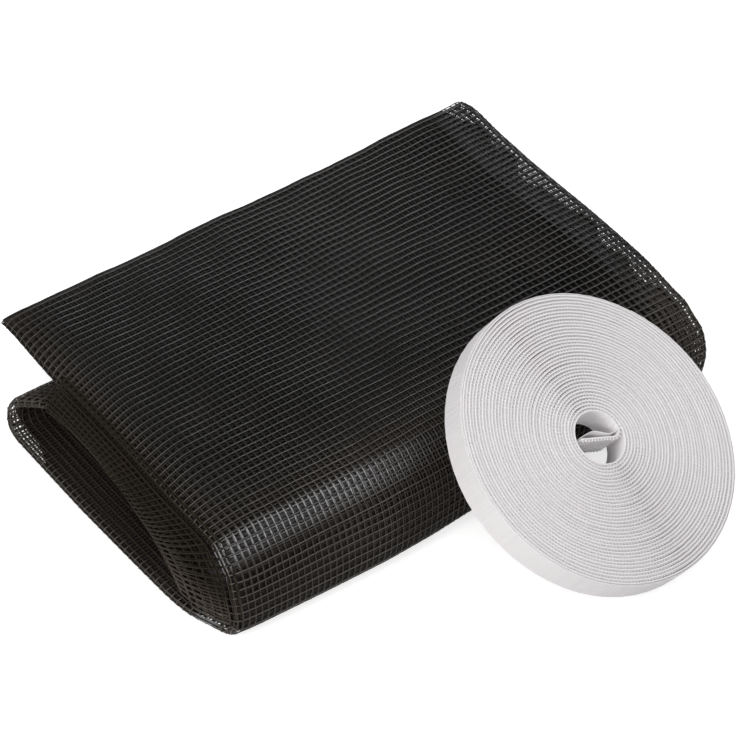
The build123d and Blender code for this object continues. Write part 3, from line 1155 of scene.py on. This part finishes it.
# The bare outer face of the last turn, and ribs across it and across the inner end
on_cover = tape_run > last_turn_start - END_TAPER
cover_profile = soft_edged(
    COVER_INNER, COVER_OUTER, COVER_SETBACK, TAPE_WIDTH - COVER_SETBACK, COVER_EDGE
)
cover_run = tape_run[on_cover]
start_taper = np.clip((cover_run - cover_run[0]) / END_TAPER, THINNEST, 1.0)
cover_taper = np.minimum(end_taper[on_cover], start_taper)
cover = strip_mesh(tape_points[on_cover], tape_normals[on_cover], cover_run, cover_profile, cover_taper)
rib_first = COVER_SETBACK + RIB_MARGIN
rib_last = TAPE_WIDTH - rib_first
rim_runs = hooked_runs[hooked_runs > last_turn_start + END_TAPER]
rim_ribs = hook_row(rim_runs, rib_first, rib_last, FIELD_OUTER - RIB_SINK, RIB_TIP)
tail_runs = hooked_runs[hooked_runs < tail_run + TAIL_RIB_PAST]
tail_last = TAPE_WIDTH - TAIL_RIB_SETBACK
tail_ribs = hook_row(tail_runs, TAIL_RIB_SETBACK, tail_last, BACKING_OUTER, TAIL_RIB_TIP)

for hook_name, hook_parts, hook_material in (
    ("tape_hook_field", [field], hook_plastic),
    ("tape_edge_hooks", [near_row, far_row], hook_plastic),
    ("tape_rim", [cover, rim_ribs, tail_ribs], backing),
):
    hook_vertices, hook_quads, hook_uv = rows_together(hook_parts)
    make_piece(
        hook_name, hook_vertices, hook_quads, hook_material, "hook_tape_roll", "tape", hook_uv, smooth=False
    )


def seen_rays(nodes, links):
    """Gives one where a ray comes from the camera, off gloss or through glass."""
    rays = nodes.new("ShaderNodeLightPath")
    seen = number(nodes, links, "MAXIMUM", rays.outputs["Is Camera Ray"], rays.outputs["Is Glossy Ray"])
    return number(nodes, links, "MAXIMUM", seen, rays.outputs["Is Transmission Ray"])


# Studio: a white world, a pale floor and soft lamps
WORLD_LIGHT = 0.40
FLOOR_GLOW = 0.66
FLOOR_TONE = 0.62
FLOOR_ROUGHNESS = 0.9
FLOOR_HALF = 4.0
FLOOR_DROP = 0.0002
WHITE = (1.0, 1.0, 1.0)
WARM_WHITE = (1.0, 0.985, 0.965)
COOL_WHITE = (0.90, 0.95, 1.0)

# Each lamp's name, place, aim, size, power and colour
MIDDLE = (0.0, 0.0, 0.0)
LAMPS = (
    ("front_lamp", (-0.54, -0.84, 0.68), MIDDLE, (0.80, 0.18), 3.9, WARM_WHITE),
    ("left_lamp", (-1.05, -0.06, 0.58), MIDDLE, (0.50, 0.50), 5.4, WARM_WHITE),
    ("fill_lamp", (-0.36, -0.36, 1.15), MIDDLE, (0.60, 0.60), 2.6, WHITE),
    ("over_lamp", (0.58, -0.13, 1.16), MIDDLE, (0.20, 0.20), 2.6, WHITE),
    ("back_lamp", (0.50, 0.72, 0.85), (0.03, 0.03, 0.0), (0.30, 0.30), 1.8, COOL_WHITE),
)

world = bpy.data.worlds.new("studio")
world.use_nodes = True
bpy.context.scene.world = world
world_nodes = world.node_tree.nodes
world_links = world.node_tree.links
dim = world_nodes["Background"]
dim.inputs["Color"].default_value = (*WHITE, 1.0)
dim.inputs["Strength"].default_value = WORLD_LIGHT
bright = world_nodes.new("ShaderNodeBackground")
bright.inputs["Strength"].default_value = 1.0
bright.inputs["Color"].default_value = (*WHITE, 1.0)
world_mix = world_nodes.new("ShaderNodeMixShader")
world_links.new(seen_rays(world_nodes, world_links), world_mix.inputs["Fac"])
world_links.new(dim.outputs["Background"], world_mix.inputs[1])
world_links.new(bright.outputs["Background"], world_mix.inputs[2])
world_links.new(world_mix.outputs["Shader"], world_nodes["World Output"].inputs["Surface"])

floor_mesh = bpy.data.meshes.new("floor")
floor_corners = [(-FLOOR_HALF, -FLOOR_HALF, 0), (FLOOR_HALF, -FLOOR_HALF, 0)]
floor_corners += [(FLOOR_HALF, FLOOR_HALF, 0), (-FLOOR_HALF, FLOOR_HALF, 0)]
floor_mesh.from_pydata(floor_corners, [], [(0, 1, 2, 3)])
floor = bpy.data.objects.new("floor", floor_mesh)
bpy.context.scene.collection.objects.link(floor)
floor.location.z = -FLOOR_DROP
floor_material, floor_nodes, floor_links, floor_shader = new_material("pale_floor")
floor_shader.inputs["Base Color"].default_value = (FLOOR_TONE, FLOOR_TONE, FLOOR_TONE, 1.0)
floor_shader.inputs["Roughness"].default_value = FLOOR_ROUGHNESS
floor_shader.inputs["Specular IOR Level"].default_value = 0.0
floor_seen = seen_rays(floor_nodes, floor_links)
glow = number(floor_nodes, floor_links, "MULTIPLY", floor_seen, fixed=FLOOR_GLOW)
floor_shader.inputs["Emission Color"].default_value = (*WHITE, 1.0)
floor_links.new(glow, floor_shader.inputs["Emission Strength"])
floor_mesh.materials.append(floor_material)


def lamp(name, place, aim, size, power, colour):
    """Adds a soft lamp, of a width and a height, that looks at a point."""
    data = bpy.data.lights.new(name, "AREA")
    data.shape = "RECTANGLE"
    data.size, data.size_y = size
    data.energy = power
    data.color = colour
    made = bpy.data.objects.new(name, data)
    made.location = place
    made.rotation_euler = (Vector(aim) - Vector(place)).to_track_quat("-Z", "Y").to_euler()
    bpy.context.scene.collection.objects.link(made)


for lamp_row in LAMPS:
    lamp(*lamp_row)

# Camera at the photograph's viewing angle
CAMERA_AZIMUTH = -35.15
CAMERA_ELEVATION = 45.5
CAMERA_DISTANCE = 0.901
CAMERA_LENS = 165.0
CAMERA_TARGET = Vector((0.0030, 0.00305, 0.012))

azimuth = math.radians(CAMERA_AZIMUTH)
elevation = math.radians(CAMERA_ELEVATION)
away = Vector((
    math.sin(azimuth) * math.cos(elevation),
    -math.cos(azimuth) * math.cos(elevation),
    math.sin(elevation),
))
camera_data = bpy.data.cameras.new("camera")
camera_data.lens = CAMERA_LENS
camera_data.sensor_width = 36.0
camera_data.clip_start = 0.01
camera = bpy.data.objects.new("camera", camera_data)
camera.location = CAMERA_TARGET + away * CAMERA_DISTANCE
camera.rotation_euler = away.to_track_quat("Z", "Y").to_euler()
bpy.context.scene.collection.objects.link(camera)
bpy.context.scene.camera = camera

bpy.context.scene.view_settings.view_transform = "Standard"
